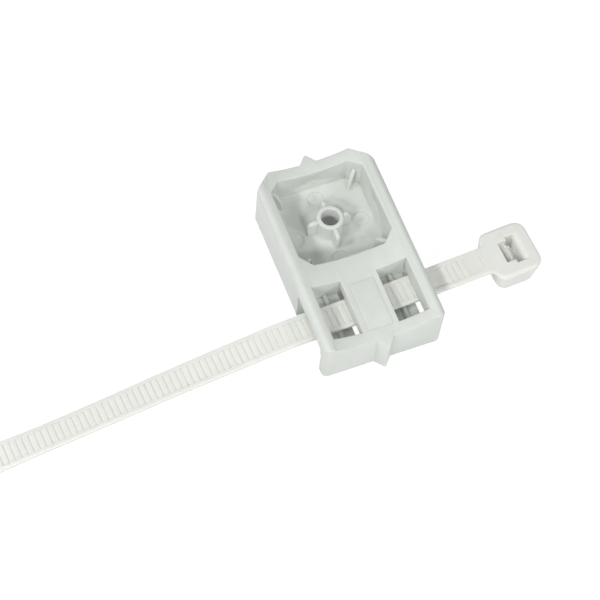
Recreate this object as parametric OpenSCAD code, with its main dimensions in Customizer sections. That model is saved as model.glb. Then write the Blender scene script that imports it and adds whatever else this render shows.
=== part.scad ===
// Cable tie mount for a fired nail, with its cable tie threaded through it.
// Two moulded pieces: the mount body and the tie. Millimetres.
// Frame: origin on the axis of the nail bore, on the wall face of the body.
// +Z points away from the wall, towards the cable; +Y towards the pocket end;
// +X along the tie channel, towards the side where the head of the tie lies.

/* [Body] */
// Width of the body across its long sides
body_width = 32.6; // [29:0.1:38]
// Height of the two long edges of the cable cradle above the wall face
edge_height = 15.1; // [13.5:0.05:18]
// Radius of the hollow front face that the cable lies in
cradle_radius = 40.3; // [36:0.1:60]
// Rounding of the long edges between the cradle and the sides
edge_round = 1.5; // [0.5:0.1:2.5]
// Thickness of the two end walls
end_wall = 3.3; // [2.5:0.1:5]
// Solid bridge between the pocket and the tie channel
mid_bridge = 6.1; // [4:0.1:9]
// Leg of the two 45 degree corners at the pocket end
end_chamfer = 5.1; // [3:0.1:6.5]
// Rounding where those corners meet the long sides
chamfer_round = 3; // [0.5:0.1:4]
// Rounding of the two plain corners at the channel end
corner_round = 1.85; // [0.3:0.05:2.5]
// How far each long side leans in at the wall face
side_draft = 0.3; // [0:0.05:0.5]
// Rounding of the two corners of the end wall that face the channel
inner_round = 1.2; // [0.3:0.1:1.4]

/* [Alignment ribs] */
// Width of the triangular rib on each end face
key_width = 4.5; // [3:0.1:7]
// How far each rib stands out of its end face
key_depth = 2.35; // [1:0.05:3.5]
// Width of the blunt tip of each rib
key_tip = 0.4; // [0.2:0.05:1]

/* [Nail pocket] */
// Width of the eight-sided pocket for the nose of the nail tool
pocket_width = 25.3; // [20:0.1:27]
// Length of the pocket along the body
pocket_length = 25.75; // [20:0.05:30]
// Leg of the pocket's cut corners
pocket_chamfer = 3; // [1.5:0.1:5]
// Height of the pocket floor above the wall face
floor_height = 4.3; // [2.5:0.1:6]

/* [Nail guide] */
// Bore that guides the nail
bore_d = 4.8; // [3.5:0.1:5.5]
// Outside diameter of the guide
guide_d = 7.1; // [6.6:0.1:9]
// Height of the guide above the pocket floor
guide_height = 5.8; // [4:0.1:7]
// Reach of the four fins from the axis of the guide
fin_reach = 5.7; // [5:0.05:8]
// Thickness of the fins
fin_thick = 1; // [0.8:0.05:2]
// Drop of the top of the fins below the top of the guide
fin_drop = 0.5; // [0.1:0.05:1]
// Rounding of the outer top corner of each fin
fin_round = 1.6; // [0.5:0.1:2]

/* [Corner gussets] */
// Reach of the two gussets at the pocket end, out of the cut corner of the pocket
slim_reach = 2.95; // [2:0.05:4]
// Radius of their bulging edge
slim_bend = 6.8; // [4:0.1:8]
// Reach of the two fuller gussets near the channel
full_reach = 3.2; // [2:0.05:4]
// Height of the straight part of their edge above the pocket floor
full_side = 3.9; // [2:0.1:5]
// Rounding of their upper corner
full_bend = 1.9; // [1:0.1:2.5]
// Thickness of each gusset
gusset_thick = 1.05; // [0.8:0.05:2]

/* [Tie channel] */
// Length of the two windows over the channel, along the body
window_length = 15.35; // [12:0.05:20]
// Width of each window
window_width = 7.95; // [6:0.05:9]
// Width of the plate between the windows
plate_width = 9.8; // [8:0.1:11]
// Height of the underside of the plate and the two side strips
channel_top = 8.55; // [8.2:0.05:9.5]
// Height of the two floors under the windows
channel_floor = 6.05; // [5:0.05:6.2]
// Thickness of those floors
channel_floor_thick = 2.2; // [1.5:0.1:3]
// Gap between each floor and the plate or strip beside it, seen from the front
shut_off = 0.45; // [0.2:0.05:1]
// Rounding of the outer lower edge of each side strip
strip_round = 2.6; // [0.8:0.1:3]
// Width of the ribs that carry the tie
rib_width = 1.2; // [0.8:0.1:2]
// Height of the ribs above their floors
rib_height = 1.1; // [0.6:0.05:1.5]
// Width of the flat on top of each rib
rib_flat = 0.5; // [0.3:0.05:0.8]

/* [Panel on the plate] */
// Width of the sunk panel
panel_width = 6.7; // [4:0.1:8]
// Length of the sunk panel
panel_length = 13.85; // [9:0.05:14.5]
// Depth of the panel below the cradle
panel_depth = 0.35; // [0.2:0.05:0.6]
// Distance from the middle of the windows to the middle of the panel, towards the channel end
panel_shift = 0.8; // [0:0.05:1.5]

/* [Cable tie] */
// Width of the strap
tie_width = 7.6; // [4.8:0.1:9]
// Thickness of the strap over its side rails
tie_thick = 1.1; // [0.9:0.05:1.3]
// Width of each plain side rail
rail_width = 1.15; // [0.8:0.05:1.5]
// Pitch of the teeth
tooth_pitch = 1.63; // [1.2:0.01:2.5]
// Depth of the notch in front of each tooth
tooth_depth = 0.5; // [0.3:0.05:0.6]
// Depth of the tooth tips below the rails
tooth_sink = 0.12; // [0.05:0.01:0.3]
// Depth of the two plain panels in the strap below the rails
panel_sink = 0.4; // [0.2:0.05:0.6]
// Turn of the tie in the channel, seen from the front, degrees
tie_turn = 3.26; // [0:0.01:5]
// Where the tie crosses the channel, measured from the middle of the channel
tie_shift = 0.85; // [-2:0.05:2]
// Length over which the strap runs level, from the middle of the body to the tail
level_run = 19; // [9:1:30]
// Length over which the strap then sinks to the wall face
sink_run = 82; // [60:1:150]
// Length over which the strap bends at each end of that run
bend_run = 10; // [5:1:20]
// Distance from the middle of the body to the tip of the tail
tail_end = 132; // [118:1:250]
// Length of the plain tapering tail
tail_length = 22; // [12:1:40]
// Width of the tip of the tail
tail_tip = 4.6; // [3:0.1:6]

/* [Tie head] */
// Distance from the middle of the body to the strap side of the head
head_start = 34.5; // [30:0.1:60]
// Length of the head
head_length = 13; // [11:0.1:16]
// Width of the head
head_width = 14; // [12:0.1:16]
// Height of the head
head_height = 6.2; // [5:0.1:7]
// How far the top of the head stands above the rails
head_rise = 0.35; // [0.1:0.05:0.6]
// Rounding of the two corners of the head beside the strap, seen from above
head_corner = 2.3; // [1:0.1:3.5]
// Rounding of the two far corners of the head
far_corner = 3; // [1:0.1:4]
// Rounding of the upper edges of the head
head_edge = 1.1; // [0.4:0.1:2]
// Lean of the end of the head beside the strap
head_lean = 0.6; // [0:0.1:2]
// Lean of the far end of the head
far_lean = 2.1; // [0:0.1:2.5]
// Rounding in the corners between the strap and the head
neck_round = 1.4; // [0.5:0.1:2]
// Length of the slot for the strap, along the tie
slot_length = 2.2; // [2:0.05:3]
// Clearance at each edge of the strap in the slot
slot_clearance = 0.15; // [0.1:0.05:0.3]
// Distance from the strap side of the head to the slot
slot_start = 6.5; // [6:0.1:8]
// Rounding of the mouth of the slot on its far side
mouth_round = 1.6; // [0.8:0.1:2]
// Length of the room for the pawl, next to the slot
pawl_room = 2.5; // [2:0.05:3]
// Width of that room
pawl_room_width = 5.9; // [4.5:0.1:6.5]
// Gap at each side of the pawl
pawl_gap = 0.3; // [0.2:0.05:0.5]
// Depth of the tip of the pawl below the top of the head
pawl_depth = 2.1; // [1.5:0.1:3]
// Thickness of the pawl at its root
pawl_root = 1; // [0.7:0.05:1.4]

/* [Hidden] */
grey = [0.84, 0.86, 0.83];
white = [0.92, 0.92, 0.9];
eps = 0.02;
over = 1;
$fn = 96;

half_w = body_width / 2;
north_wall_y = pocket_length / 2;
north_y = north_wall_y + end_wall;
window_north_y = -pocket_length / 2 - mid_bridge;
window_south_y = window_north_y - window_length;
south_y = window_south_y - end_wall;
channel_mid_y = (window_north_y + window_south_y) / 2;

// Height of the centre of the cradle's circle, and of the cradle at its middle.
cradle_z = edge_height + sqrt(pow(cradle_radius, 2) - pow(half_w, 2));
function front_z(x) = cradle_z - sqrt(pow(cradle_radius, 2) - x * x);
// Centre of the rounding of the long edges, inside the side face and outside the cradle's circle.
round_x = half_w - edge_round;
round_z = cradle_z - sqrt(pow(cradle_radius + edge_round, 2) - pow(round_x, 2));
touch_x = round_x * cradle_radius / (cradle_radius + edge_round);
touch_z = cradle_z + (round_z - cradle_z) * cradle_radius / (cradle_radius + edge_round);

chamfer_touch = chamfer_round * tan(22.5);
pocket_depth_cut = edge_height - floor_height + over;
guide_top = floor_height + guide_height;

plate_half = plate_width / 2;
window_out = plate_half + window_width;
window_mid = plate_half + window_width / 2;
rib_top = channel_floor + rib_height;
rib_circle = rib_width / 2;
rib_centre = rib_top - sqrt(pow(rib_circle, 2) - pow(rib_flat / 2, 2));

// The tie rests on the flat tops of the two ribs.
strap_bottom = rib_top;
strap_top = strap_bottom + tie_thick;
sink_slope = strap_bottom / sink_run;
tooth_zone = tie_width - 2 * rail_width;
head_top = strap_top + head_rise;
head_bottom = head_top - head_height;
head_end = head_start + head_length;
slot_x = head_start + slot_start;
slot_end = slot_x + slot_length;
slot_width = tie_width + 2 * slot_clearance;
room_x = slot_x - pawl_room;
// Two plain panels in the strap: start, length.
panel_a = [18.2, 4.4];
panel_b = [28, 4.5];

// Drop of the strap at distance s towards the tail, measured from where the bend starts.
function sink(s) =
    s <= 0 ? 0 :
    s < bend_run ? sink_slope * s * s / (2 * bend_run) :
    s < sink_run ? sink_slope * (s - bend_run / 2) :
    s < sink_run + bend_run ? strap_bottom - sink_slope * pow(sink_run + bend_run - s, 2) / (2 * bend_run) :
    strap_bottom;
// Height of the underside of the strap at x along the tie, down to zero where it is next to nothing.
function under(x) = let (z = strap_bottom - sink(-x - level_run)) z < 0.03 ? 0 : z;

// Outline of the body seen from the front, with the two alignment ribs.
module plan_outline() {
    polygon([
        [half_w - end_chamfer, north_y],
        [key_width / 2, north_y],
        [key_tip / 2, north_y + key_depth],
        [-key_tip / 2, north_y + key_depth],
        [-key_width / 2, north_y],
        [-half_w + end_chamfer, north_y],
        [-half_w + chamfer_touch * cos(45), north_y - end_chamfer + chamfer_touch * cos(45)],
        [-half_w, north_y - end_chamfer - chamfer_touch],
        [-half_w, south_y + corner_round],
        [-half_w + corner_round, south_y],
        [-key_width / 2, south_y],
        [-key_tip / 2, south_y - key_depth],
        [key_tip / 2, south_y - key_depth],
        [key_width / 2, south_y],
        [half_w - corner_round, south_y],
        [half_w, south_y + corner_round],
        [half_w, north_y - end_chamfer - chamfer_touch],
        [half_w - chamfer_touch * cos(45), north_y - end_chamfer + chamfer_touch * cos(45)]
    ]);
    for (s = [-1, 1]) {
        translate([s * (half_w - chamfer_round), north_y - end_chamfer - chamfer_touch])
            circle(r = chamfer_round);
        translate([s * (half_w - corner_round), south_y + corner_round])
            circle(r = corner_round);
    }
}

// Cross-section of the body: flat back, leaning sides, rounded edges, hollow front.
module cross_section() {
    difference() {
        polygon([
            [-half_w + side_draft, 0],
            [half_w - side_draft, 0],
            [half_w, round_z],
            [touch_x, touch_z],
            [-touch_x, touch_z],
            [-half_w, round_z]
        ]);
        translate([0, cradle_z])
            circle(r = cradle_radius, $fn = 360);
    }
    for (s = [-1, 1])
        translate([s * round_x, round_z])
            circle(r = edge_round);
}

// Extrudes an outline drawn across the body, from y_low to y_high.
module across(y_low, y_high) {
    translate([0, y_high, 0])
        rotate([90, 0, 0])
            linear_extrude(height = y_high - y_low)
                children();
}

module pocket_outline() {
    px = pocket_width / 2;
    py = pocket_length / 2;
    c = pocket_chamfer;
    polygon([
        [px, py - c], [px - c, py], [-px + c, py], [-px, py - c],
        [-px, -py + c], [-px + c, -py], [px - c, -py], [px, -py + c]
    ]);
}

// Room between a square corner and its rounding, removed from the end wall below the strips.
module inner_corner() {
    linear_extrude(height = channel_top)
        translate([half_w - inner_round, window_south_y - inner_round])
            difference() {
                square(inner_round + over);
                circle(r = inner_round);
            }
}

// The channel across the body, with rounded outer lower edges of the side strips.
module channel_section() {
    translate([-half_w - over, -over])
        square([body_width + 2 * over, channel_top + over]);
    for (s = [-1, 1])
        mirror([s > 0 ? 1 : 0, 0])
            difference() {
                translate([-half_w - over, channel_top - eps])
                    square([strip_round + over, strip_round + eps]);
                translate([-half_w + strip_round, channel_top + strip_round])
                    circle(r = strip_round);
            }
}

// A floor under one window, with its round-topped rib.
module channel_floor_section() {
    translate([plate_half + shut_off, channel_floor - channel_floor_thick])
        square([window_width - 2 * shut_off, channel_floor_thick]);
    translate([window_mid - rib_width / 2, channel_floor - eps])
        square([rib_width, rib_centre - channel_floor + eps]);
    intersection() {
        translate([window_mid, rib_centre])
            circle(r = rib_circle);
        translate([window_mid - rib_width, channel_floor])
            square([2 * rib_width, rib_height]);
    }
}

// One fin of the nail guide, along +X.
module fin() {
    fin_top = guide_top - fin_drop;
    across(-fin_thick / 2, fin_thick / 2) {
        translate([bore_d / 2 + 0.4, floor_height - eps])
            square([fin_reach - bore_d / 2 - 0.4, fin_top - fin_round - floor_height + eps]);
        translate([bore_d / 2 + 0.4, floor_height - eps])
            square([fin_reach - fin_round - bore_d / 2 - 0.4, fin_top - floor_height + eps]);
        translate([fin_reach - fin_round, fin_top - fin_round])
            circle(r = fin_round);
    }
}

// One gusset in a cut corner of the pocket: straight up to side, then bending back to the wall.
module gusset(reach, side, bend) {
    across(-gusset_thick / 2, gusset_thick / 2) {
        translate([-over, -eps])
            square([over + reach, side + 2 * eps]);
        translate([-over, 0])
            square([over + max(0, reach - bend), side + bend]);
        intersection() {
            translate([-over, side])
                square([over + reach, bend]);
            translate([reach - bend, side])
                circle(r = bend, $fn = 180);
        }
    }
}

module gussets() {
    for (sx = [-1, 1], sy = [-1, 1])
        translate([
            sx * (pocket_width - pocket_chamfer) / 2,
            sy * (pocket_length - pocket_chamfer) / 2,
            floor_height
        ])
            rotate([0, 0, atan2(-sy, -sx)])
                if (sy > 0)
                    gusset(slim_reach, 0, slim_bend);
                else
                    gusset(full_reach, full_side, full_bend);
}

module nail_guide() {
    cylinder(d = guide_d, h = guide_top);
    for (a = [0:90:270])
        rotate([0, 0, a])
            fin();
}

module mount_body() {
    color(grey)
        difference() {
            union() {
                difference() {
                    intersection() {
                        linear_extrude(height = edge_height + over)
                            plan_outline();
                        across(south_y - key_depth - over, north_y + key_depth + over)
                            cross_section();
                    }
                    translate([0, 0, floor_height])
                        linear_extrude(height = pocket_depth_cut)
                            pocket_outline();
                    across(window_south_y, window_north_y)
                        channel_section();
                    for (s = [-1, 1])
                        translate([s * window_mid - window_width / 2, window_south_y, channel_floor])
                            cube([window_width, window_length, edge_height]);
                    for (s = [0, 1])
                        mirror([s, 0, 0])
                            inner_corner();
                    difference() {
                        translate([-panel_width / 2, channel_mid_y - panel_shift - panel_length / 2, channel_top])
                            cube([panel_width, panel_length, edge_height]);
                        translate([0, 0, -panel_depth])
                            across(south_y, north_y)
                                cross_section();
                    }
                }
                across(window_south_y - eps, window_north_y + eps)
                    for (s = [0, 1])
                        mirror([s, 0])
                            channel_floor_section();
                nail_guide();
                gussets();
            }
            translate([0, 0, -over])
                cylinder(d = bore_d, h = guide_top + 2 * over);
        }
}

// Places what is drawn along the tie: +X towards the head, z up, middle of the body at x = 0.
module on_tie() {
    translate([0, channel_mid_y + tie_shift, 0])
        rotate([0, 0, tie_turn])
            children();
}

// Stations of the smooth strap, from the tip of the tail to inside the head.
stations = [
    for (x = [-tail_end:4:-level_run - bend_run]) x,
    for (x = [-level_run - bend_run + 2:2:-level_run]) x,
    head_start + head_edge
];

// Side view of the strap: from its underside up to sink_by below its rails.
module strap_side(sink_by, from, to) {
    inner = [for (x = stations) if (x > from && x < to) x];
    line = concat([from], inner, [to]);
    polygon(concat(
        [for (x = line) [x, under(x)]],
        [for (i = [len(line) - 1:-1:0]) [line[i], under(line[i]) + tie_thick - sink_by]]
    ));
}

// Side view of the toothed middle of the strap: ramps rising to the head, then a steep drop.
module teeth_side(from, count) {
    x_at = function(i) from + i * tooth_pitch;
    base = tie_thick - tooth_sink;
    top = [for (i = [0:count - 1]) each [
        [x_at(i), under(x_at(i)) + base - tooth_depth],
        [x_at(i) + tooth_pitch * 0.22, under(x_at(i)) + base - tooth_depth],
        [x_at(i) + tooth_pitch * 0.7, under(x_at(i)) + base],
        [x_at(i) + tooth_pitch * 0.97, under(x_at(i)) + base]
    ]];
    end = x_at(count);
    bottom = [for (i = [count:-1:0]) [x_at(i), under(x_at(i))]];
    polygon(concat(top, [[end, under(end) + base - tooth_depth]], bottom));
}

module strap() {
    teeth_end = panel_a[0];
    teeth_count = floor((teeth_end + tail_end - tail_length) / tooth_pitch);
    teeth_start = teeth_end - teeth_count * tooth_pitch;
    few_start = panel_a[0] + panel_a[1];
    few_count = floor((panel_b[0] - few_start) / tooth_pitch);
    intersection() {
        union() {
            for (s = [-1, 1])
                across(
                    s * (tie_width - rail_width) / 2 - rail_width / 2,
                    s * (tie_width - rail_width) / 2 + rail_width / 2
                )
                    strap_side(0, -tail_end, head_start + head_edge);
            across(-tooth_zone / 2 - eps, tooth_zone / 2 + eps) {
                teeth_side(teeth_start, teeth_count);
                teeth_side(few_start, few_count);
                strap_side(panel_sink, teeth_end - eps, few_start + eps);
                strap_side(panel_sink, few_start + few_count * tooth_pitch - eps, head_start);
                strap_side(panel_sink, -tail_end, teeth_start + eps);
                strap_side(0, panel_b[0] + panel_b[1], head_start + head_edge);
            }
        }
        linear_extrude(height = head_top)
            polygon([
                [head_start + head_length / 2, -tie_width / 2],
                [head_start + head_length / 2, tie_width / 2],
                [-tail_end + tail_length, tie_width / 2],
                [-tail_end + tail_tip / 4, tail_tip / 2],
                [-tail_end, tail_tip / 4],
                [-tail_end, -tail_tip / 4],
                [-tail_end + tail_tip / 4, -tail_tip / 2],
                [-tail_end + tail_length, -tie_width / 2]
            ]);
    }
}

// The head seen from above, with its own rounding at each end.
module head_plan() {
    w = head_width / 2;
    translate([head_start + head_corner, -w])
        square([head_length - head_corner - far_corner, head_width]);
    translate([head_start, -w + head_corner])
        square([head_length / 2, head_width - 2 * head_corner]);
    translate([head_start + head_length / 2, -w + far_corner])
        square([head_length / 2, head_width - 2 * far_corner]);
    for (s = [-1, 1]) {
        translate([head_start + head_corner, s * (w - head_corner)])
            circle(r = head_corner);
        translate([head_end - far_corner, s * (w - far_corner)])
            circle(r = far_corner);
    }
}

// Side view of the head: leaning ends and rounded upper edges.
module head_side() {
    r = head_edge;
    polygon([
        [head_start + head_lean, head_bottom],
        [head_end - far_lean, head_bottom],
        [head_end, head_top - r],
        [head_end - r, head_top],
        [head_start + r, head_top],
        [head_start, head_top - r]
    ]);
    for (x = [head_start + r, head_end - r])
        translate([x, head_top - r])
            circle(r = r);
}

// End view of the head, drawn in y and z: rounded upper edges.
module head_front() {
    r = head_edge;
    w = head_width / 2;
    polygon([
        [-w, head_bottom], [w, head_bottom], [w, head_top - r],
        [w - r, head_top], [-w + r, head_top], [-w, head_top - r]
    ]);
    for (s = [-1, 1])
        translate([s * (w - r), head_top - r])
            circle(r = r);
}

module head_block() {
    intersection() {
        linear_extrude(height = head_top + over)
            head_plan();
        across(-head_width, head_width)
            head_side();
        translate([head_start - over, 0, 0])
            rotate([90, 0, 90])
                linear_extrude(height = head_length + 2 * over)
                    head_front();
    }
}

// Hollow corners between the edges of the strap and the head.
module neck() {
    reach = neck_round + head_corner;
    for (s = [0, 1])
        mirror([0, s, 0])
            translate([head_start - neck_round, tie_width / 2 - eps, strap_bottom])
                linear_extrude(height = tie_thick)
                    difference() {
                        square([reach, neck_round + eps]);
                        translate([0, neck_round + eps])
                            circle(r = neck_round);
                    }
}

// The slot, its rounded mouth and the room for the pawl.
module head_openings() {
    translate([slot_x, -slot_width / 2, 0])
        cube([slot_length, slot_width, head_top + over]);
    translate([room_x, -pawl_room_width / 2, 0])
        cube([pawl_room + eps, pawl_room_width, head_top + over]);
    difference() {
        translate([slot_end - eps, -slot_width / 2, head_top - mouth_round])
            cube([mouth_round + eps, slot_width, mouth_round + over]);
        translate([slot_end + mouth_round, 0, head_top - mouth_round])
            rotate([90, 0, 0])
                cylinder(r = mouth_round, h = slot_width + 2 * over, center = true);
    }
}

// The springy pawl: rooted low in the strap side of its room, toothed towards the slot.
module pawl() {
    tip = head_top - pawl_depth;
    x = slot_x;
    low = head_bottom + 0.5;
    across(-pawl_room_width / 2 + pawl_gap, pawl_room_width / 2 - pawl_gap)
        polygon([
            [room_x - eps, low],
            [room_x - eps, low + pawl_root],
            [x - 1.1, low + pawl_root + 0.7],
            [x - 0.9, tip],
            [x - 0.3, tip],
            [x + 0.35, tip - 0.75],
            [x - 0.1, tip - 0.95],
            [x + 0.35, tip - 1.7],
            [x - 0.1, tip - 1.9],
            [x + 0.2, tip - 2.6],
            [x - 0.5, low + 0.1]
        ]);
}

module cable_tie() {
    color(white)
        on_tie() {
            difference() {
                union() {
                    strap();
                    head_block();
                    neck();
                }
                head_openings();
            }
            pawl();
        }
}

mount_body();
cable_tie();
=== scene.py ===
import math

import bmesh
import bpy
from mathutils import Euler, Matrix, Vector


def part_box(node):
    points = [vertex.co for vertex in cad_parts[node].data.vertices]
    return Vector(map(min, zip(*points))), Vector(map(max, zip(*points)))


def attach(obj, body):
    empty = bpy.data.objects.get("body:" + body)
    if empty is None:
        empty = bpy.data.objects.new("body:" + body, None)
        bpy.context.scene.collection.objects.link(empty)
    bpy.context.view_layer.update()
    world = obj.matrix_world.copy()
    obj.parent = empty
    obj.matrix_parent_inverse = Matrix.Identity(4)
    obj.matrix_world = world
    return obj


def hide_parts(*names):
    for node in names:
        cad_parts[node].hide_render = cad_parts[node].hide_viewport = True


# Cable tie mount: a grey moulded body with a cable tie threaded through its channel.
# Sizes are millimetres and become metres through MM; angles are degrees.
# x runs across the body and along the tie towards its head, z away from the wall.
# y runs along the body: north is the pocket's end, south the channel's end.
MM = 0.001

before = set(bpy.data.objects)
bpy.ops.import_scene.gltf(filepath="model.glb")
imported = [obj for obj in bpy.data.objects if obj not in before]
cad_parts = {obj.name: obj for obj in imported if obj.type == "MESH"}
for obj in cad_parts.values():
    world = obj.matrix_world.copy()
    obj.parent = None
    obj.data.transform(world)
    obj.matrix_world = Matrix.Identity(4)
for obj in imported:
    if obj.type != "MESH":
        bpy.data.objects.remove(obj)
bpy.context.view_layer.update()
body_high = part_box("mount_body")[1] / MM
tie_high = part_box("cable_tie")[1] / MM

# Body: its section across, and its outline from the front with a key on each end. The hollow front
# that the cable lies in is its cradle.
HALF_WIDTH = body_high.x
EDGE_HEIGHT = 15.1
CRADLE_RADIUS = 40.3
CRADLE_Z = EDGE_HEIGHT + math.sqrt(CRADLE_RADIUS**2 - HALF_WIDTH**2)
CRADLE_REACH = 14.4
EDGE_ROUND = 1.5
SIDE_DRAFT = 0.3
END_WALL = 3.3
END_CHAMFER = 5.1
CHAMFER_ROUND = 3
NORTH_ROUND = 1
SOUTH_ROUND = 1.85
KEY_HALF = 2.25
KEY_TIP = 0.2
KEY_REACH = 2.35

# Pocket for the nose of the nail tool.
POCKET_WIDTH = 25.3
POCKET_LENGTH = 25.75
POCKET_CHAMFER = 3
FLOOR_HEIGHT = 4.3
NORTH_FACE = POCKET_LENGTH / 2 + END_WALL

# Nail guide with its fins; the bore widens behind its mouth, and the east fin is a little shorter.
BORE = 2.4
WIDE_BORE = 3.05
WIDE_BORE_TOP = 6.4
GUIDE = 3.55
GUIDE_TOP = 10.1
FIN_ROOT = 3.1
FIN_REACH = 6.1
EAST_FIN_REACH = 5.7
FIN_THICK = 1.15
FIN_TOP = 9.6
FIN_ROUND = 1.6

# Gussets in the cut corners of the pocket: their reach from the wall, the height of their straight
# front and the radius of their bend back to the wall. Two are slim, and two near the channel fuller.
GUSSET_THICK = 1.05
SLIM_GUSSET = (2.95, 0, 6.8)
FULL_GUSSET = (3.2, 3.9, 1.9)

# Channel for the tie, with a window over each of its two floors. A rib on each floor carries the tie.
WINDOW_NORTH = -18.975
WINDOW_SOUTH = -34.325
WINDOW_IN = 4.9
WINDOW_OUT = 12.85
SOUTH_FACE = WINDOW_SOUTH - END_WALL
CHANNEL_MID = (WINDOW_NORTH + WINDOW_SOUTH) / 2
CHANNEL_TOP = 8.55
CHANNEL_FLOOR = 6.05
CHANNEL_FLOOR_THICK = 2.2
SHUT_OFF = 0.45
STRIP_ROUND = 2.6
MOUTH_CORNER_ROUND = 1.2
RIB_RADIUS = 0.6
RIB_CENTRE = 6.604

# Plain raised panel on the plate between the windows.
PANEL_HALF = 3.35
PANEL_Y = (-34.2, -20.6)
PANEL_RISE = 0.16
PANEL_FOOT = 10

# Round ejector marks in the pocket floor, and shallow ovals in its end walls and side walls.
MARKS = ((9.0, -0.1), (0, 9.2), (-9.3, -0.45), (-0.35, -9.2))
MARK_RADIUS = 2.2
MARK_DEPTH = 0.2
OVAL_DEPTH = 0.2
OVAL_HALF_HEIGHT = 1.15
END_OVAL_HALF = 1.534
END_OVAL_Z = 7.7
SIDE_OVAL_HALF = 2.065
SIDE_OVAL_Z = 9.7

# Roundings of the body's sharp edges, by where they lie.
ROUNDING = {
    "guide_foot": 0.12,
    "guide_rim": 0.36,
    "bore_mouth": 0.2,
    "bore_step": 0.05,
    "bore_back": 0.2,
    "fin": 0.22,
    "fin_root": 0.15,
    "fin_root_top": 0.1,
    "pocket_foot": 0.08,
    "pocket_corner": 0.14,
    "pocket_rim": 0.3,
    "pocket_mark": 0.03,
    "pocket_step": 0.06,
    "gusset": 0.2,
    "channel": 0.05,
    "panel": 0.08,
    "window_rim": 0.26,
    "roof": 0.12,
    "key": 0.13,
    "front": 0.32,
    "back": 0.25,
}
WIDEST_ROUNDING = 0.4
ROUNDING_STEPS = 3
SHARP_ANGLE = 28
BODY_SMOOTH_ANGLE = 40
NEAR = 0.05

# How far tools reach past the body, and how far a standing feature reaches into what carries it.
BODY_CLEAR_Z = (-1, 16)
BODY_CLEAR_X = 18
BODY_CLEAR_Y = 4
SEAT = 0.2

# Strap, measured from the middle of the body towards the head; its underside is at height 0.
STRAP_WIDTH = 7.6
STRAP_THICK = 1.1
STRAP_ROUND = 0.32
STRAP_END = 35.6
TAIL_END = -132
TAIL_TAPER = 22
TAIL_TIP = 4.6
BEND_STEP = 3

# Teeth in the strap's sunk middle, with a plain panel to each side of the last few.
TOOTH_ZONE = 5.3
TOOTH_SINK = 0.1
TOOTH_PITCH = 1.63
NOTCH_DEPTH = 0.18
FIRST_NOTCH = 0.4
TEETH_END = 18.2
PANEL_A = (18.2, 22.6)
PANEL_A_HEIGHT = 0.7
PANEL_A_LIP = 1.02
FEW_TEETH = (22.2, 27.55)
FEW_NOTCHES = 3
FEW_NOTCHES_START = 23.15
PANEL_B = (28.0, 32.5)
PANEL_B_DEPTH = 0.16
PANEL_B_ROUND = 1.4
OVER_STRAP = STRAP_THICK + 1

# Fall of the strap from the body to the wall face, with its slight twist and drift on the way.
STRAP_HEIGHT = 7.15
LEVEL_RUN = 19
SINK_RUN = 82
BEND_RUN = 10
TWIST = 11
TWIST_RUN = (20, 80)
UNTWIST_RUN = (88, 104)
DRIFTS = (
    # how far to the north, from where, to where
    (0.3, 6, 20),
    (-0.45, 45, 84),
    (0.15, 90, 110),
)

# Head of the tie, with its slot, the room of its pawl and the rounded mouth beside the slot.
HEAD_X = (34.45, 47.65)
HEAD_Y = (-7.1, 7.3)
HEAD_BOTTOM = 2.35
HEAD_TOP = tie_high.z
HEAD_LEAN = (0.6, -1.9)
HEAD_CORNERS = (2.3, 3)
HEAD_RIM_ROUND = 1.1
HEAD_FOOT_ROUND = 0.4
SLOT = (41.0, 43.2)
SLOT_WIDTH = 7.9
MOUTH_ROUND = 1.6
PAWL_ROOM = 38.5
PAWL_ROOM_WIDTH = 5.9
PAWL_GAP = 0.3
PAWL_LOW = 2.9
PAWL_DROP = 2.1
OVER_HEAD = 12

# Neck between the head and the strap, and the softening that blends it all into one moulding.
NECK_X = (33.1, 36.7)
NECK_INSET = 0.25
NECK_BOTTOM = 7.7
NECK_CORNER_X = (33.0, 36.5)
NECK_CORNER_BOTTOM = 7.6
NECK_CORNER_ROUND = 1.5
MELT_SIZE = 0.13
SOFTENING = 0.5
SOFTENING_ROUNDS = 8
BLEND_X = (33.7, 40.5)
BLEND_BOTTOM = 5.5
TIE_SMOOTH_ANGLE = 35

# The tie crosses the channel at this turn and place.
TIE_TURN = 3.26
TIE_SHIFT = 0.85

# Studio: the camera, a floor, a plain world and soft square lamps.
CAMERA_PLACE = (-122.4546, -223.9806, 451.8563)
CAMERA_TURN = (27.3508, -3.33, -21.131)
CAMERA_LENS = 119.1918
SENSOR_WIDTH = 36
FLOOR_SIZE = 6000
FLOOR_PALE = 0.8
FLOOR_SEEN = 0.12
FLOOR_GLOW = 0.94
WORLD_LEVEL = 0.35
LAMP_DISTANCE = 700
LAMP_SIZE = 80
LAMP_TARGET = (0, -10, 5)
LAMPS = (
    # name, direction in plan, height above the floor, power
    ("left", 176, 48, 1.12),
    ("left_front", 217, 41, 1.14),
    ("front", 272, 44, 0.98),
    ("right_front", 306, 34, 0.82),
    ("back_left", 135, 24, 0.42),
    ("back", 85, 26, 0.25),
    ("high", 242, 66, 0.42),
)


# ---------------------------------------------------------------- modelling by hand


def only(*pieces):
    """Deselects everything, then selects these pieces and makes the first active."""
    bpy.ops.object.select_all(action="DESELECT")
    for piece in pieces:
        piece.select_set(True)
    bpy.context.view_layer.objects.active = pieces[0]


def open_edit(piece):
    """Opens a piece for editing with all of it selected."""
    only(piece)
    bpy.ops.object.mode_set(mode="EDIT")
    bpy.ops.mesh.select_all(action="SELECT")


def close_edit():
    """Ends the editing of a piece."""
    bpy.ops.object.mode_set(mode="OBJECT")


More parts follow.
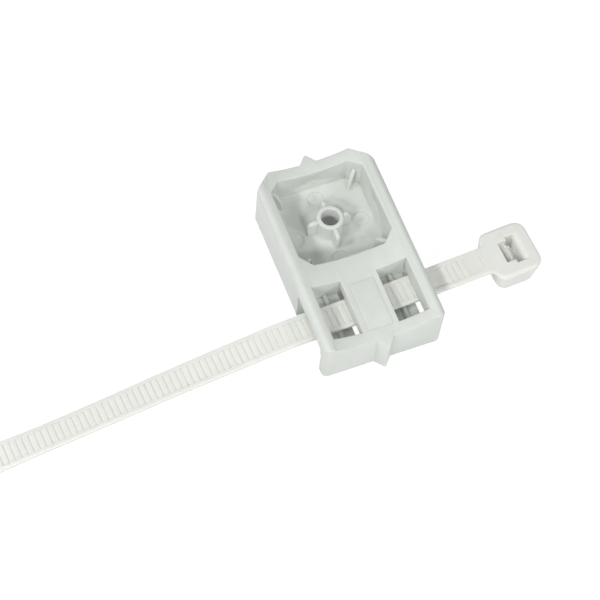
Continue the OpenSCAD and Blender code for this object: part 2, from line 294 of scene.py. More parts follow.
def round_edges(piece, test, radius, segments):
    """Rounds the edges chosen by a test on their two ends."""
    only(piece)
    bpy.ops.object.mode_set(mode="EDIT")
    bpy.ops.mesh.select_mode(type="EDGE")
    bpy.ops.mesh.select_all(action="DESELECT")
    bpy.ops.object.mode_set(mode="OBJECT")
    mesh = piece.data
    for edge in mesh.edges:
        start, end = (mesh.vertices[i].co / MM for i in edge.vertices)
        edge.select = bool(test(start, end))
    bpy.ops.object.mode_set(mode="EDIT")
    bpy.ops.mesh.bevel(offset=radius * MM, segments=segments, affect="EDGES", clamp_overlap=False)
    close_edit()


def named(name):
    """Names the piece that was just added, and puts its place into its mesh."""
    piece = bpy.context.object
    piece.name = piece.data.name = name
    bpy.ops.object.transform_apply(location=True, rotation=True, scale=True)
    return piece


def block(name, low, high):
    """A box between two corners."""
    low, high = Vector(low), Vector(high)
    bpy.ops.object.select_all(action="DESELECT")
    bpy.ops.mesh.primitive_cube_add(size=1, location=(low + high) / 2 * MM, scale=(high - low) * MM)
    return named(name)


def rod(name, middle, radius, length, axis="Z", sides=64):
    """A round bar about a middle point, along the z or the y axis."""
    turn = (math.pi / 2, 0, 0) if axis == "Y" else (0, 0, 0)
    place = Vector(middle) * MM
    bpy.ops.object.select_all(action="DESELECT")
    bpy.ops.mesh.primitive_cylinder_add(
        vertices=sides, radius=radius * MM, depth=length * MM, location=place, rotation=turn
    )
    return named(name)


def ball(name, middle, half_sizes):
    """A flattened ball with half its size along each axis."""
    place = Vector(middle) * MM
    bpy.ops.object.select_all(action="DESELECT")
    bpy.ops.mesh.primitive_uv_sphere_add(
        segments=32, ring_count=16, radius=MM, location=place, scale=half_sizes
    )
    return named(name)


def arc(middle, radius, start, end, steps):
    """Points on a round stretch of an outline."""
    angles = [math.radians(start + (end - start) * i / steps) for i in range(steps + 1)]
    return [(middle[0] + radius * math.cos(a), middle[1] + radius * math.sin(a)) for a in angles]


def with_mirror(right):
    """A closed outline from its right half."""
    return right + [(-x, v) for x, v in reversed(right)]


def pull_out(name, points, place, pull):
    """A flat outline set by place(u, v), pulled out along a direction to a closed solid."""
    bpy.ops.object.select_all(action="DESELECT")
    bpy.ops.mesh.primitive_circle_add(vertices=len(points), radius=MM, fill_type="NGON")
    piece = bpy.context.object
    piece.name = piece.data.name = name
    for vertex, point in zip(piece.data.vertices, points):
        vertex.co = Vector(place(*point)) * MM
    open_edit(piece)
    bpy.ops.mesh.extrude_region_move(TRANSFORM_OT_translate={"value": Vector(pull) * MM})
    bpy.ops.mesh.select_all(action="SELECT")
    bpy.ops.mesh.normals_make_consistent(inside=False)
    close_edit()
    return piece


def along_body(name, points, low, high):
    """A solid whose outline is drawn in x and z, from y = low to y = high."""
    return pull_out(name, points, lambda x, z: (x, low, z), (0, high - low, 0))


def side_profile(name, points, half_width):
    """A solid whose outline is drawn in x and z, reaching as far to both sides of y = 0."""
    return along_body(name, points, -half_width, half_width)


def upright(name, points, low, high):
    """A solid whose outline is drawn in x and y, from z = low to z = high."""
    return pull_out(name, points, lambda x, y: (x, y, low), (0, 0, high - low))


def placed(piece, turn, place=(0, 0, 0)):
    """Turns a piece about the z axis, then moves it."""
    move = Matrix.Rotation(math.radians(turn), 4, "Z")
    move.translation = Vector(place) * MM
    piece.data.transform(move)
    return piece


def mirror_copy(piece):
    """A copy on the other side of x = 0, with its own mesh."""
    other = piece.copy()
    other.data = piece.data.copy()
    bpy.context.scene.collection.objects.link(other)
    other.data.transform(Matrix.Scale(-1, 4, (1, 0, 0)))
    other.data.flip_normals()
    return other


def apply_all(piece):
    """Applies the modifiers of a piece, first to last."""
    only(piece)
    for name in [modifier.name for modifier in piece.modifiers]:
        bpy.ops.object.modifier_apply(modifier=name)


def in_a_row(piece, count, pitch):
    """Repeats a piece along the x axis."""
    row = piece.modifiers.new("row", "ARRAY")
    row.count = count
    row.use_relative_offset = False
    row.use_constant_offset = True
    row.constant_offset_displace = (pitch * MM, 0, 0)
    apply_all(piece)
    return piece


def combine(piece, tool, operation):
    """Joins, cuts or trims a piece with a tool solid, and removes the tool."""
    change = piece.modifiers.new(operation.lower(), "BOOLEAN")
    change.operation = operation
    change.solver = "EXACT"
    change.object = tool
    apply_all(piece)
    bpy.data.objects.remove(tool)


def add(piece, tool):
    """Joins a tool solid to a piece."""
    combine(piece, tool, "UNION")


def cut(piece, tool):
    """Cuts a tool solid out of a piece."""
    combine(piece, tool, "DIFFERENCE")


def merge(*pieces):
    """One object from several, kept as separate shells."""
    only(*pieces)
    bpy.ops.object.join()
    return pieces[0]


def ease(value, start, end):
    """From 0 at start to 1 at end, with soft ends."""
    t = min(max((value - start) / (end - start), 0), 1)
    return t * t * (3 - 2 * t)


# ---------------------------------------------------------------- mount body


def cradle_height(x):
    """Height of the hollow front that the cable lies in."""
    return CRADLE_Z - math.sqrt(CRADLE_RADIUS**2 - x * x)


def on_cradle(point):
    """Whether a point lies on the hollow front."""
    return abs(point.x) < CRADLE_REACH and abs(cradle_height(point.x) - point.z) < 0.3


def cross_section():
    """Flat back, leaning sides, rounded long edges and the hollow front."""
    round_x = HALF_WIDTH - EDGE_ROUND
    round_z = CRADLE_Z - math.sqrt((CRADLE_RADIUS + EDGE_ROUND) ** 2 - round_x**2)
    lean = math.degrees(math.asin(round_x / (CRADLE_RADIUS + EDGE_ROUND)))
    right = arc((round_x, round_z), EDGE_ROUND, 0, 90 + lean, 9)
    front = [(x, cradle_height(x)) for x in (13.55, 11.85, 9.95, 7.9, 5.95, 4.0, 2.0, 0)]
    half = [(HALF_WIDTH - SIDE_DRAFT, 0), *right, *front]
    return half + [(-x, z) for x, z in reversed(half[:-1])]


def plan_outline():
    """The body seen from the front, with an alignment key on each end face."""
    south_x, south_y = HALF_WIDTH - SOUTH_ROUND, SOUTH_FACE + SOUTH_ROUND
    chamfer_y = NORTH_FACE - END_CHAMFER - CHAMFER_ROUND * math.tan(math.pi / 8)
    # The small rounding at the north face starts just past the end of the chamfer.
    north_x = HALF_WIDTH - END_CHAMFER - 0.42
    return with_mirror(
        [
            (KEY_TIP, SOUTH_FACE - KEY_REACH),
            (KEY_HALF, SOUTH_FACE),
            *arc((south_x, south_y), SOUTH_ROUND, -90, 0, 8),
            *arc((HALF_WIDTH - CHAMFER_ROUND, chamfer_y), CHAMFER_ROUND, 0, 45, 6),
            *arc((north_x, NORTH_FACE - NORTH_ROUND), NORTH_ROUND, 50, 90, 4),
            (KEY_HALF, NORTH_FACE),
            (KEY_TIP, NORTH_FACE + KEY_REACH),
        ]
    )


def pocket_outline():
    """The pocket seen from the front, with its four cut corners."""
    x, y, c = POCKET_WIDTH / 2, POCKET_LENGTH / 2, POCKET_CHAMFER
    north = [(x, y - c), (x - c, y), (c - x, y), (-x, y - c)]
    return north + [(x, -y) for x, y in reversed(north)]


def channel_outline():
    """The channel seen along the body, with the rounded outer lower edges of the side strips."""
    turn_x, turn_z = HALF_WIDTH - STRIP_ROUND, CHANNEL_TOP + STRIP_ROUND
    return with_mirror(
        [
            (BODY_CLEAR_X, BODY_CLEAR_Z[0]),
            (BODY_CLEAR_X, turn_z),
            *arc((turn_x, turn_z), STRIP_ROUND, 0, -90, 8),
        ]
    )


def cut_windows(body):
    """A window on each side of the plate, and a rounded inner corner at each mouth of the channel."""
    r = MOUTH_CORNER_ROUND
    corner = [
        *arc((HALF_WIDTH - r, WINDOW_SOUTH - r), r, 90, 0, 6),
        (HALF_WIDTH + 1, WINDOW_SOUTH - r),
        (HALF_WIDTH + 1, WINDOW_SOUTH + 1),
        (HALF_WIDTH - r, WINDOW_SOUTH + 1),
    ]
    for side in (-1, 1):
        low, high = sorted((side * WINDOW_IN, side * WINDOW_OUT))
        cut(body, block("window", (low, WINDOW_SOUTH, CHANNEL_TOP), (high, WINDOW_NORTH, BODY_CLEAR_Z[1])))
        outline = [(side * x, y) for x, y in corner]
        cut(body, upright("inner_corner", outline, BODY_CLEAR_Z[0], CHANNEL_TOP))


def plain_panel():
    """The panel on the plate, which follows the hollow front."""
    outline = [(x, cradle_height(x) + PANEL_RISE) for x in (-PANEL_HALF, -2, 0, 2, PANEL_HALF)]
    outline += [(PANEL_HALF, PANEL_FOOT), (-PANEL_HALF, PANEL_FOOT)]
    return along_body("panel", outline, *PANEL_Y)


def channel_floor():
    """The floor under the east window, with the round-topped rib that carries the tie."""
    low, high = WINDOW_IN + SHUT_OFF, WINDOW_OUT - SHUT_OFF
    middle = (WINDOW_IN + WINDOW_OUT) / 2
    underside = CHANNEL_FLOOR - CHANNEL_FLOOR_THICK
    outline = [
        (low, underside),
        (high, underside),
        (high, CHANNEL_FLOOR),
        (middle + RIB_RADIUS, CHANNEL_FLOOR),
        *arc((middle, RIB_CENTRE), RIB_RADIUS, 0, 65, 5),
        *arc((middle, RIB_CENTRE), RIB_RADIUS, 115, 180, 5),
        (middle - RIB_RADIUS, CHANNEL_FLOOR),
        (low, CHANNEL_FLOOR),
    ]
    return along_body("channel_floor", outline, WINDOW_SOUTH - 0.02, WINDOW_NORTH + 0.02)


def gusset(reach, straight, bend):
    """A thin web that stands in a cut corner of the pocket, then bends back to the wall."""
    in_wall = -1
    top = [point for point in arc((reach - bend, straight), bend, 0, 90, 12) if point[0] > in_wall]
    outline = [(in_wall, -SEAT), (reach, -SEAT), *top, (in_wall, straight + bend)]
    return side_profile("gusset", outline, GUSSET_THICK / 2)


def add_gussets(body):
    """One gusset in each corner of the pocket, facing its middle."""
    for x in (-1, 1):
        for y in (-1, 1):
            web = gusset(*(SLIM_GUSSET if y > 0 else FULL_GUSSET))
            corner_x = x * (POCKET_WIDTH - POCKET_CHAMFER) / 2
            corner_y = y * (POCKET_LENGTH - POCKET_CHAMFER) / 2
            turn = math.degrees(math.atan2(-y, -x))
            add(body, placed(web, turn, (corner_x, corner_y, FLOOR_HEIGHT)))


def fin(turn, reach):
    """A fin of the nail guide, with its outer top corner rounded."""
    foot = FLOOR_HEIGHT - SEAT
    outline = [
        (FIN_ROOT, foot),
        (reach, foot),
        *arc((reach - FIN_ROUND, FIN_TOP - FIN_ROUND), FIN_ROUND, 0, 90, 8),
        (FIN_ROOT, FIN_TOP),
    ]
    return placed(side_profile("fin", outline, FIN_THICK / 2), turn)


def nail_guide():
    """The tube for the nail, with a fin on each side."""
    foot = FLOOR_HEIGHT - SEAT
    guide = rod("nail_guide", (0, 0, (GUIDE_TOP + foot) / 2), GUIDE, GUIDE_TOP - foot)
    for turn, reach in ((0, EAST_FIN_REACH), (90, FIN_REACH), (180, FIN_REACH), (270, FIN_REACH)):
        add(guide, fin(turn, reach))
    return guide


def shape_body():
    """Cuts the body from a bar of its cross-section, then adds what stands in its openings."""
    low, high = BODY_CLEAR_Z
    body = along_body("mount_moulding", cross_section(), SOUTH_FACE - BODY_CLEAR_Y, NORTH_FACE + BODY_CLEAR_Y)
    combine(body, upright("plan", plan_outline(), low, high), "INTERSECT")
    cut(body, upright("pocket", pocket_outline(), FLOOR_HEIGHT, high))
    cut(body, along_body("channel", channel_outline(), WINDOW_SOUTH, WINDOW_NORTH))
    cut_windows(body)
    add(body, plain_panel())
    floor = channel_floor()
    other_floor = mirror_copy(floor)
    add(body, floor)
    add(body, other_floor)
    add_gussets(body)
    add(body, nail_guide())
    cut(body, rod("bore", (0, 0, 5), BORE, 14))
    cut(body, rod("wide_bore", (0, 0, WIDE_BORE_TOP / 2 - 1), WIDE_BORE, WIDE_BORE_TOP + 2))
    return body


def sink_marks(body):
    """Four round ejector marks in the pocket floor and a shallow oval in each pocket wall."""
    for x, y in MARKS:
        cut(body, rod("ejector_mark", (x, y, FLOOR_HEIGHT + 1 - MARK_DEPTH), MARK_RADIUS, 2, sides=48))
    for side in (1, -1):
        middle = (0, side * (POCKET_LENGTH / 2 - OVAL_DEPTH), END_OVAL_Z)
        cut(body, ball("oval_mark", middle, (END_OVAL_HALF, 2 * OVAL_DEPTH, OVAL_HALF_HEIGHT)))
    for side in (1, -1):
        middle = (side * (POCKET_WIDTH / 2 - OVAL_DEPTH), 0, SIDE_OVAL_Z)
        cut(body, ball("oval_mark", middle, (2 * OVAL_DEPTH, SIDE_OVAL_HALF, OVAL_HALF_HEIGHT)))


def guide_edge(reach, z, hollow):
    """Rounding on the nail guide, its fins and its bore."""
    if z < FLOOR_HEIGHT + NEAR:
        return ROUNDING["guide_foot"]
    if z < GUIDE_TOP - 1.5 and reach < WIDE_BORE + 0.1:
        return ROUNDING["bore_step"]
    if hollow:
        return ROUNDING["fin_root_top"] if z > FIN_TOP - 0.1 else ROUNDING["fin_root"]
    if reach < BORE + 0.3:
        return ROUNDING["bore_mouth"]
    return ROUNDING["guide_rim"] if z > GUIDE_TOP - NEAR else ROUNDING["fin"]


def pocket_edge(middle, hollow):
    """Rounding in the pocket; its ovals stay as they are, and so do the gussets' inner corners."""
    x, y, z = abs(middle.x), abs(middle.y), middle.z
    if FLOOR_HEIGHT - 0.3 < z < FLOOR_HEIGHT + 0.1:
        on_wall = x > POCKET_WIDTH / 2 - 0.01 or y > POCKET_LENGTH / 2 - 0.01
        return ROUNDING["pocket_foot"] if on_wall else ROUNDING["pocket_mark"]
    at_oval = min(x, y) < 2.5 and 6 < z < 11.5
    if at_oval:
        return 0
    at_gusset = min(x, y) > 8.5 and z < 10.25
    if at_gusset:
        return 0 if hollow else ROUNDING["gusset"]
    if on_cradle(middle):
        return ROUNDING["pocket_rim"]
    return ROUNDING["pocket_corner"] if hollow else ROUNDING["pocket_step"]


def channel_edge(middle):
    """Rounding in the channel, on the panel, round the windows and on the underside of the roof."""
    if middle.z < CHANNEL_TOP - 0.1:
        return ROUNDING["channel"]
    if abs(middle.x) < PANEL_HALF + 0.1:
        return ROUNDING["panel"]
    return ROUNDING["window_rim"] if on_cradle(middle) else ROUNDING["roof"]


def body_edge(a, b, hollow):
    """Rounding of a sharp edge of the body, from where it lies and whether it is an inner corner."""
    middle = (a + b) / 2
    x, y, z = abs(middle.x), middle.y, middle.z
    reach = math.hypot(x, y)
    if reach < FIN_REACH + 0.5 and z > FLOOR_HEIGHT - NEAR:
        return guide_edge(reach, z, hollow)
    if reach < WIDE_BORE + 0.3:
        return ROUNDING["bore_step"] if z > 1 else ROUNDING["bore_back"]
    if abs(y) < POCKET_LENGTH / 2 + 0.1 and x < POCKET_WIDTH / 2 + 0.1:
        return pocket_edge(middle, hollow)
    if hollow:
        return 0
    if y > NORTH_FACE + NEAR or y < SOUTH_FACE - NEAR:
        return ROUNDING["key"]
    if WINDOW_SOUTH - NEAR < y < WINDOW_NORTH + NEAR:
        return channel_edge(middle)
    upright_edge = abs(a.z - b.z) > 0.5
    at_mouth_corner = x > 14.8 and WINDOW_SOUTH - 2 < y < WINDOW_SOUTH + 1 and z < 11.2
    if upright_edge or at_mouth_corner:
        return 0
    return ROUNDING["front"] if z > 1 else ROUNDING["back"]


def round_body(body):
    """Rounds every sharp edge of the body by its own amount, then smooths the curved faces."""
    mesh = bmesh.new()
    mesh.from_mesh(body.data)
    weights = mesh.edges.layers.float.new("bevel_weight_edge")
    for edge in mesh.edges:
        if len(edge.link_faces) == 2 and edge.calc_face_angle() > math.radians(SHARP_ANGLE):
            a, b = (vertex.co / MM for vertex in edge.verts)
            edge[weights] = body_edge(a, b, not edge.is_convex) / WIDEST_ROUNDING
    mesh.to_mesh(body.data)
    mesh.free()
    bevel = body.modifiers.new("edges", "BEVEL")
    bevel.width = WIDEST_ROUNDING * MM
    bevel.segments = ROUNDING_STEPS
    bevel.limit_method = "WEIGHT"
    bevel.use_clamp_overlap = False
    apply_all(body)
    bpy.ops.object.shade_smooth_by_angle(angle=math.radians(BODY_SMOOTH_ANGLE))


def build_body():
    """The finished mount body."""
    body = shape_body()
    sink_marks(body)
    open_edit(body)
    bpy.ops.mesh.remove_doubles(threshold=0.01 * MM)
    bpy.ops.mesh.dissolve_limited(angle_limit=math.radians(0.3))
    close_edit()
    round_body(body)
    return body


# ---------------------------------------------------------------- cable tie


def score_strap(strap):
    """Cuts lines across the strap at even steps, so that it can bend there."""
    open_edit(strap)
    for i in range(1, int((STRAP_END - TAIL_END) / BEND_STEP) + 1):
        bpy.ops.mesh.select_all(action="SELECT")
        bpy.ops.mesh.bisect(plane_co=((TAIL_END + BEND_STEP * i) * MM, 0, 0), plane_no=(1, 0, 0))
    close_edit()


def notches(start, count):
    """The tool that cuts a row of notches between the teeth, the first of them at start."""
    sunk = STRAP_THICK - TOOTH_SINK
    notch = [
        (0, OVER_STRAP),
        (0.08, sunk - NOTCH_DEPTH),
        (0.24, sunk - NOTCH_DEPTH),
        (0.48, sunk),
        (0.5, OVER_STRAP),
    ]
    row = side_profile("notches", [(start + x, z) for x, z in notch], TOOTH_ZONE / 2)
    return in_a_row(row, count, TOOTH_PITCH)


def sunk_middle(start, end, height):
    """The tool that sinks the middle of the strap to a height over a stretch of its length."""
    half = TOOTH_ZONE / 2
    return block("sunk_middle", (start, -half, height), (end, half, OVER_STRAP))


def sunk_panels():
    """The tools for the two plain panels: one with a sloping end, one with two rounded corners."""
    end = PANEL_A[1] + 0.1
    outline = [
        (PANEL_A[0], PANEL_A_HEIGHT),
        (PANEL_A[1] - 1.3, PANEL_A_HEIGHT),
        (end, PANEL_A_LIP),
        (end, OVER_STRAP),
        (PANEL_A[0], OVER_STRAP),
    ]
    panel_a = side_profile("panel_a", outline, TOOTH_ZONE / 2)
    panel_b = sunk_middle(*PANEL_B, STRAP_THICK - PANEL_B_DEPTH)
    far = PANEL_B[1] - 0.1
    round_edges(panel_b, lambda a, b: abs(a.z - b.z) > 0.5 and a.x > far, PANEL_B_ROUND, 8)
    return panel_a, panel_b


def build_strap():
    """The strap laid out straight: rounded bar, sunk middle, two plain panels and tooth notches."""
    half = STRAP_WIDTH / 2
    strap = block("tie_strap", (TAIL_END, -half, 0), (STRAP_END, half, STRAP_THICK))
    round_edges(strap, lambda a, b: abs(a.x - b.x) > 10, STRAP_ROUND, 4)
    score_strap(strap)

    sunk = STRAP_THICK - TOOTH_SINK
    teeth_start = TAIL_END + TAIL_TAPER
    cut(strap, sunk_middle(teeth_start, TEETH_END, sunk))
    cut(strap, sunk_middle(*FEW_TEETH, sunk))
    for panel in sunk_panels():
        cut(strap, panel)

    count = int((TEETH_END - teeth_start) / TOOTH_PITCH)
    cut(strap, notches(TEETH_END - count * TOOTH_PITCH + FIRST_NOTCH, count - 1))
    cut(strap, notches(FEW_NOTCHES_START, FEW_NOTCHES))
    return strap


def sink(distance):
    """Fall of the strap at a distance past the level stretch, towards the tail."""
    slope = STRAP_HEIGHT / SINK_RUN
    if distance <= 0:
        return 0
    if distance < BEND_RUN:
        return slope * distance**2 / (2 * BEND_RUN)
    if distance < SINK_RUN:
        return slope * (distance - BEND_RUN / 2)
    if distance < SINK_RUN + BEND_RUN:
        return STRAP_HEIGHT - slope * (SINK_RUN + BEND_RUN - distance) ** 2 / (2 * BEND_RUN)
    return STRAP_HEIGHT


def lay_strap(strap):
    """Narrows the tail, then lets the strap fall and twist on its way to the wall face."""
    for vertex in strap.data.vertices:
        x, y, z = vertex.co / MM
        tail = min(max((TAIL_END + TAIL_TAPER - x) / TAIL_TAPER, 0), 1)
        y *= 1 - tail * (1 - TAIL_TIP / STRAP_WIDTH)
        away = -x
        twist = -math.radians(TWIST) * ease(away, *TWIST_RUN) * (1 - ease(away, *UNTWIST_RUN))
        up = z - STRAP_THICK / 2
        across = y * math.cos(twist) - up * math.sin(twist)
        up = y * math.sin(twist) + up * math.cos(twist)
        drift = sum(reach * ease(away, start, end) for reach, start, end in DRIFTS)
        height = STRAP_HEIGHT - sink(away - LEVEL_RUN) + STRAP_THICK / 2 + up
        vertex.co = Vector((x, across + drift, max(height, 0))) * MM


def head_block():
    """The block of the head, leaning in at its foot, with all its edges rounded."""
    start, end = HEAD_X
    head = block("tie_head", (start, HEAD_Y[0], HEAD_BOTTOM), (end, HEAD_Y[1], HEAD_TOP))
    for vertex in head.data.vertices:
        at_neck = vertex.co.x < (start + 1) * MM
        if vertex.co.z < (HEAD_BOTTOM + 0.1) * MM:
            vertex.co.x += (HEAD_LEAN[0] if at_neck else HEAD_LEAN[1]) * MM
    round_edges(head, lambda a, b: abs(a.z - b.z) > 3 and a.x < start + 2, HEAD_CORNERS[0], 10)
    round_edges(head, lambda a, b: abs(a.z - b.z) > 3 and a.x > end - 3, HEAD_CORNERS[1], 10)
    round_edges(head, lambda a, b: min(a.z, b.z) > HEAD_TOP - NEAR, HEAD_RIM_ROUND, 6)
    round_edges(head, lambda a, b: max(a.z, b.z) < HEAD_BOTTOM + NEAR, HEAD_FOOT_ROUND, 3)
    return head


def cut_slot(head):
    """The slot that the strap goes through, the room of the pawl and the rounded mouth."""
    slot, room, r = SLOT_WIDTH / 2, PAWL_ROOM_WIDTH / 2, MOUTH_ROUND
    cut(head, block("slot", (SLOT[0], -slot, 0), (SLOT[1], slot, OVER_HEAD)))
    cut(head, block("pawl_room", (PAWL_ROOM, -room, 0), (SLOT[0] + 0.1, room, OVER_HEAD)))
    mouth = block("mouth", (SLOT[1] - 0.1, -slot, HEAD_TOP - r), (SLOT[1] + r, slot, OVER_HEAD))
    cut(mouth, rod("lip", (SLOT[1] + r, 0, HEAD_TOP - r), r, 12, "Y"))
    cut(head, mouth)


def pawl():
    """The tongue that holds the strap, from its root in the head up to its toothed tip."""
    low, tip = PAWL_LOW, HEAD_TOP - PAWL_DROP
    root = PAWL_ROOM - 0.2
    near, far = SLOT
    outline = [
        (root, low),
        (far - 0.6, low + 0.1),
        (far - 0.22, low + 1.3),
        (near + 0.95, tip - 2.1),
        (near + 1.2, tip - 1.8),
        (near + 0.55, tip - 1.1),
        (near + 0.8, tip - 0.8),
        (near - 0.1, tip),
        (near - 1.1, tip - 0.2),
        (near - 1.8, low + 1.9),
        (root, low + 1.2),
    ]
    return side_profile("pawl", outline, PAWL_ROOM_WIDTH / 2 - PAWL_GAP)


def neck_pieces():
    """The neck over the strap's end, and a hollow corner on each side of it."""
    side_y = STRAP_WIDTH / 2
    neck_y = side_y - NECK_INSET
    neck = block("neck", (NECK_X[0], -neck_y, NECK_BOTTOM), (NECK_X[1], neck_y, HEAD_TOP))
    pieces = [neck]
    start, end = NECK_CORNER_X
    r = NECK_CORNER_ROUND
    for side in (-1, 1):
        low, high = sorted((side * (side_y - 0.3), side * (side_y + r)))
        corner = block("neck_corner", (start, low, NECK_CORNER_BOTTOM), (end, high, HEAD_TOP - 0.05))
        cut(corner, rod("hollow", (start, side * (side_y + r), STRAP_HEIGHT), r, 8))
        pieces.append(corner)
    return pieces


def melt_together(head):
    """Turns the overlapping shells of the head into one soft skin."""
    melt = head.modifiers.new("melt", "REMESH")
    melt.mode = "VOXEL"
    melt.voxel_size = MELT_SIZE * MM
    soft = head.modifiers.new("soft", "SMOOTH")
    soft.factor = SOFTENING
    soft.iterations = SOFTENING_ROUNDS
    apply_all(head)


def blend_to_strap(head):
    """Lowers the top of the head towards its neck until it meets the strap."""
    step = HEAD_TOP - STRAP_HEIGHT - STRAP_THICK
    for vertex in head.data.vertices:
        x, _, z = vertex.co / MM
        vertex.co.z -= step * (1 - ease(x, *BLEND_X)) * ease(z, BLEND_BOTTOM, HEAD_TOP) * MM


def build_head():
    """The head with its neck, slot, mouth and pawl as one moulding."""
    head = head_block()
    cut_slot(head)
    head = merge(head, pawl(), *neck_pieces())
    melt_together(head)
    blend_to_strap(head)
    return head


def build_tie():
    """The finished cable tie, lying in the channel."""
    strap = build_strap()
    lay_strap(strap)
    tie = build_head()
    add(tie, strap)
    tie.name = tie.data.name = "cable_tie_moulding"
    placed(tie, TIE_TURN, (0, CHANNEL_MID + TIE_SHIFT, 0))
    only(tie)
    bpy.ops.object.shade_smooth_by_angle(angle=math.radians(TIE_SMOOTH_ANGLE))
    return tie


# ---------------------------------------------------------------- finishes


def add_node(tree, kind, feeds=None, **settings):
    """Adds a node; feeds gives an input either its value or the socket that it is linked from."""
    new = tree.nodes.new("ShaderNode" + kind)
    for name, value in settings.items():
        setattr(new, name, value)
    for name, feed in (feeds or {}).items():
        if isinstance(feed, bpy.types.NodeSocket):
            tree.links.new(feed, new.inputs[name])
        else:
            new.inputs[name].default_value = feed
    return new


def mixed(tree, factor, colour, other):
    """A colour mixed towards another one by a factor."""
    feeds = {"Factor": factor, "A": colour, "B": other}
    return add_node(tree, "Mix", feeds, data_type="RGBA").outputs["Result"]


def spread(tree, value, low, high, least=0, most=1):
    """A value spread out so that low becomes least and high becomes most."""
    feeds = {"Value": value, "From Min": low, "From Max": high, "To Min": least, "To Max": most}
    return add_node(tree, "MapRange", feeds).outputs["Result"]


def noise(tree, place, scale, detail, roughness):
    """Soft noise; scale is its count per metre."""
    feeds = {"Vector": place, "Scale": scale, "Detail": detail, "Roughness": roughness}
    return add_node(tree, "TexNoise", feeds).outputs["Fac"]


def calculated(tree, operation, *values):
    """The result of one operation on values or sockets."""
    return add_node(tree, "Math", dict(enumerate(values)), operation=operation).outputs[0]


def moulded_surface():
    """The skin of a moulded plastic: its mottled colour with painted shade in its crevices, its gloss and the
    height of its fine grain.
    """
    group = bpy.data.node_groups.new("moulded_surface", "ShaderNodeTree")
    for name, kind in (
        ("Place", "Vector"),
        ("Colour", "Color"),
        ("Clouding Colour", "Color"),
        ("Fleck Colour", "Color"),
        # the colour of the painted shade in crevices, and how far that shade reaches
        ("Crevice Shade Colour", "Color"),
        ("Crevice Shade Reach", "Float"),
        ("Grain Per Metre", "Float"),
        ("Least Roughness", "Float"),
        ("Most Roughness", "Float"),
    ):
        group.interface.new_socket(name=name, in_out="INPUT", socket_type="NodeSocket" + kind)
    for name, kind in (("Colour", "Color"), ("Roughness", "Float"), ("Height", "Float")):
        group.interface.new_socket(name=name, in_out="OUTPUT", socket_type="NodeSocket" + kind)
    given = group.nodes.new("NodeGroupInput").outputs
    result = group.nodes.new("NodeGroupOutput").inputs

    clouds = noise(group, given["Place"], 260, 5, 0.6)
    grain = noise(group, given["Place"], given["Grain Per Metre"], 3, 0.65)

    # A fleck sits in the middle of about one cell in eight.
    cells = add_node(group, "TexVoronoi", {"Vector": given["Place"], "Scale": 330})
    near = calculated(group, "LESS_THAN", cells.outputs["Distance"], 0.045)
    number = add_node(group, "SeparateColor", {"Color": cells.outputs["Color"]}).outputs["Red"]
    rare = calculated(group, "LESS_THAN", number, 0.12)
    fleck = calculated(group, "MULTIPLY", near, rare)

    # Painted shade: the colour darkens in crevices, where other faces of the same piece are close by.
    feeds = {"Distance": given["Crevice Shade Reach"]}
    open_air = add_node(group, "AmbientOcclusion", feeds, only_local=True, samples=8).outputs["AO"]
    crevice_shade = spread(group, open_air, 0.95, 0.3)

    colour = mixed(group, spread(group, clouds, 0.35, 0.7), given["Colour"], given["Clouding Colour"])
    colour = mixed(group, fleck, colour, given["Fleck Colour"])
    # painted shade, darkening the colour in crevices
    colour = mixed(group, crevice_shade, colour, given["Crevice Shade Colour"])
    group.links.new(colour, result["Colour"])

    roughness = spread(group, grain, 0.3, 0.7, given["Least Roughness"], given["Most Roughness"])
    group.links.new(roughness, result["Roughness"])
    group.links.new(calculated(group, "MULTIPLY_ADD", clouds, 0.35, grain), result["Height"])
    return group


SURFACE = moulded_surface()


def plastic(name, colour, clouding, fleck, crevice_shade, grain, roughness, relief):
    """A moulded plastic with painted shade in its crevices; grain is its count per metre and relief the depth
    of its bumps in millimetres.
    """
    material = bpy.data.materials.new(name)
    material.use_nodes = True
    tree = material.node_tree
    shader = tree.nodes["Principled BSDF"]
    feeds = {
        "Place": add_node(tree, "TexCoord").outputs["Object"],
        "Colour": (*colour, 1),
        "Clouding Colour": (*clouding, 1),
        "Fleck Colour": (*fleck, 1),
        # the painted shade in crevices
        "Crevice Shade Colour": (*crevice_shade, 1),
        "Crevice Shade Reach": 0.5 * MM,
        "Grain Per Metre": grain,
        "Least Roughness": roughness[0],
        "Most Roughness": roughness[1],
    }
    skin = add_node(tree, "Group", feeds, node_tree=SURFACE)
    bumps = {"Strength": 0.5, "Distance": relief * MM, "Height": skin.outputs["Height"]}
    bump = add_node(tree, "Bump", bumps)
    tree.links.new(skin.outputs["Colour"], shader.inputs["Base Color"])
    tree.links.new(skin.outputs["Roughness"], shader.inputs["Roughness"])
    tree.links.new(bump.outputs["Normal"], shader.inputs["Normal"])
    shader.inputs["Specular IOR Level"].default_value = 0.35
    return material


def mount_grey():
    """Pale grey nylon with a fine satin grain."""
    return plastic(
        "mount_grey",
        colour=(0.67, 0.698, 0.66),
        clouding=(0.64, 0.67, 0.635),
        fleck=(0.42, 0.43, 0.38),
        # colour of the painted shade in crevices
        crevice_shade=(0.48, 0.5, 0.455),
        grain=2600,
        roughness=(0.36, 0.48),
        relief=0.04,
    )


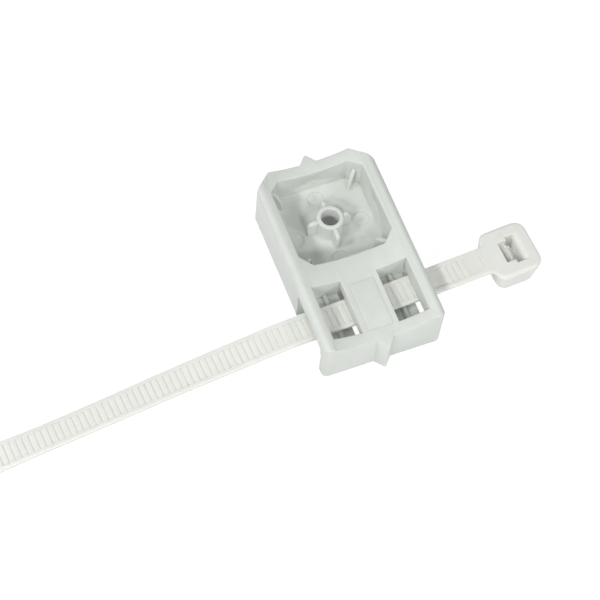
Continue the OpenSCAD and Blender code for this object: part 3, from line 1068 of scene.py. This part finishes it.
def tie_white():
    """Natural white nylon, smoother, and slightly see-through at its skin."""
    material = plastic(
        "tie_white",
        colour=(0.765, 0.775, 0.74),
        clouding=(0.745, 0.755, 0.715),
        fleck=(0.6, 0.59, 0.52),
        # colour of the painted shade in crevices
        crevice_shade=(0.71, 0.705, 0.64),
        grain=1800,
        roughness=(0.34, 0.46),
        relief=0.02,
    )
    shader = material.node_tree.nodes["Principled BSDF"]
    shader.inputs["Subsurface Weight"].default_value = 0.7
    shader.inputs["Subsurface Radius"].default_value = (1.0, 0.95, 0.85)
    shader.inputs["Subsurface Scale"].default_value = 0.8 * MM
    return material


def dress(piece, material, node):
    """Gives a piece its finish and puts it in its solid's place."""
    piece.data.materials.clear()
    piece.data.materials.append(material)
    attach(piece, "root")
    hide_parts(node)


# ---------------------------------------------------------------- studio


def build_camera():
    """The camera at the viewing angle of the main view."""
    data = bpy.data.cameras.new("view")
    data.lens = CAMERA_LENS
    data.sensor_width = SENSOR_WIDTH
    data.clip_start, data.clip_end = 0.01, 20
    camera = bpy.data.objects.new("view", data)
    turn = Euler([math.radians(angle) for angle in CAMERA_TURN])
    camera.matrix_world = Matrix.LocRotScale(Vector(CAMERA_PLACE) * MM, turn, None)
    bpy.context.scene.collection.objects.link(camera)
    bpy.context.scene.camera = camera


def floor_white():
    """White with a faint shadow where it is seen or mirrored, and plain pale to all other light."""
    material = bpy.data.materials.new("floor_white")
    material.use_nodes = True
    tree = material.node_tree
    tree.nodes.clear()
    path = add_node(tree, "LightPath").outputs
    rays = path["Is Camera Ray"]
    for kind in ("Is Glossy Ray", "Is Transmission Ray"):
        rays = calculated(tree, "MAXIMUM", rays, path[kind])
    pale = add_node(tree, "BsdfDiffuse", {"Color": (FLOOR_PALE, FLOOR_PALE, FLOOR_PALE, 1)})
    faint = add_node(tree, "BsdfDiffuse", {"Color": (FLOOR_SEEN, FLOOR_SEEN, FLOOR_SEEN, 1)})
    glow = add_node(tree, "Emission", {"Strength": FLOOR_GLOW})
    seen = add_node(tree, "AddShader", {0: faint.outputs[0], 1: glow.outputs[0]})
    mix = add_node(tree, "MixShader", {0: rays, 1: pale.outputs[0], 2: seen.outputs[0]})
    add_node(tree, "OutputMaterial", {"Surface": mix.outputs[0]})
    return material


def build_floor():
    """A wide plain floor at the wall face."""
    bpy.ops.object.select_all(action="DESELECT")
    bpy.ops.mesh.primitive_plane_add(size=FLOOR_SIZE * MM, location=(0, 0, 0))
    floor = bpy.context.object
    floor.name = "floor"
    floor.data.materials.append(floor_white())


def build_lights():
    """The plain world, and the lamps in a ring round the object, each turned towards it."""
    scene = bpy.context.scene
    world = scene.world or bpy.data.worlds.new("studio")
    scene.world = world
    world.use_nodes = True
    background = world.node_tree.nodes["Background"]
    background.inputs["Color"].default_value = (1, 1, 1, 1)
    background.inputs["Strength"].default_value = WORLD_LEVEL
    for name, direction, height, power in LAMPS:
        data = bpy.data.lights.new(name, "AREA")
        data.shape = "SQUARE"
        data.size = LAMP_SIZE * MM
        data.energy = power
        lamp = bpy.data.objects.new(name, data)
        plan, up = math.radians(direction), math.radians(height)
        away = Vector((math.cos(plan) * math.cos(up), math.sin(plan) * math.cos(up), math.sin(up)))
        lamp.location = Vector(LAMP_TARGET) * MM + away * LAMP_DISTANCE * MM
        lamp.rotation_euler = (-away).to_track_quat("-Z", "Y").to_euler()
        scene.collection.objects.link(lamp)


dress(build_body(), mount_grey(), "mount_body")
dress(build_tie(), tie_white(), "cable_tie")
build_camera()
build_floor()
build_lights()
bpy.context.scene.view_settings.view_transform = "Standard"
